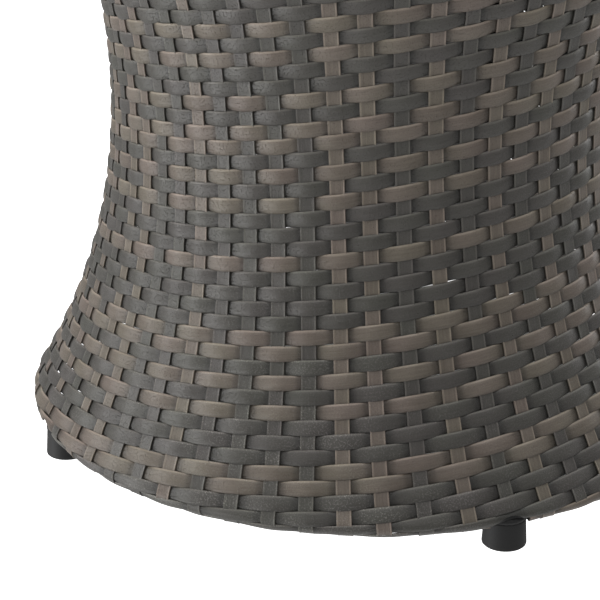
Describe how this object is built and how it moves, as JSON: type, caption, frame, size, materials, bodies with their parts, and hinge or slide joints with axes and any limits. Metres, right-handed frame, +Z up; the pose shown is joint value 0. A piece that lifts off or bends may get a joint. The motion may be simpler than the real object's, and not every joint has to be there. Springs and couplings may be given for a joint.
{
  "type": "outdoor side table",
  "caption": "Round hourglass side table woven from flat strips over a tube frame, with a lift-off glass top and short moulded feet.",
  "frame": {"origin": "on the floor, at the centre of the four feet", "axes": "+Z up along the table's axis; the feet stand on the diagonals between X and Y"},
  "size_m": [0.4852, 0.4852, 0.4796],
  "materials": {
    "brown_strip": "satin, fine lengthwise grain",
    "grey_strip": "satin, fine lengthwise grain",
    "powder_coated_steel": "satin black powder coat",
    "foot_plastic": "smooth moulded black",
    "tempered_glass": "clear, ground edge",
    "clear_pad": "clear soft plastic"
  },
  "bodies": {
    "base": {"glass_pads": "clear_pad", "top_ring": "powder_coated_steel", "upper_hoop": "powder_coated_steel", "waist_hoop": "powder_coated_steel", "lower_hoop": "powder_coated_steel", "base_ring": "powder_coated_steel", "upright_1": "powder_coated_steel", "upright_2": "powder_coated_steel", "upright_3": "powder_coated_steel", "upright_4": "powder_coated_steel", "leg_tube_1": "powder_coated_steel", "leg_tube_2": "powder_coated_steel", "leg_tube_3": "powder_coated_steel", "leg_tube_4": "powder_coated_steel", "foot_cap_1": "foot_plastic", "foot_cap_2": "foot_plastic", "foot_cap_3": "foot_plastic", "foot_cap_4": "foot_plastic", "stakes_brown": "brown_strip", "stakes_grey_front": "grey_strip", "stakes_grey_back": "grey_strip", "weavers_brown_lower": "brown_strip", "weavers_grey_lower": "grey_strip", "weavers_brown_middle": "brown_strip", "weavers_grey_middle": "grey_strip", "weavers_brown_upper": "brown_strip", "weavers_grey_upper": "grey_strip", "top_border": "brown_strip", "bottom_border": "grey_strip"},
    "top": {"glass_top": "tempered_glass"}
  },
  "joints": [
    {"name": "top_lift", "type": "slide", "parent": "base", "child": "top", "axis": [0, 0, 1], "range_m": [0, 0.15]}
  ]
}
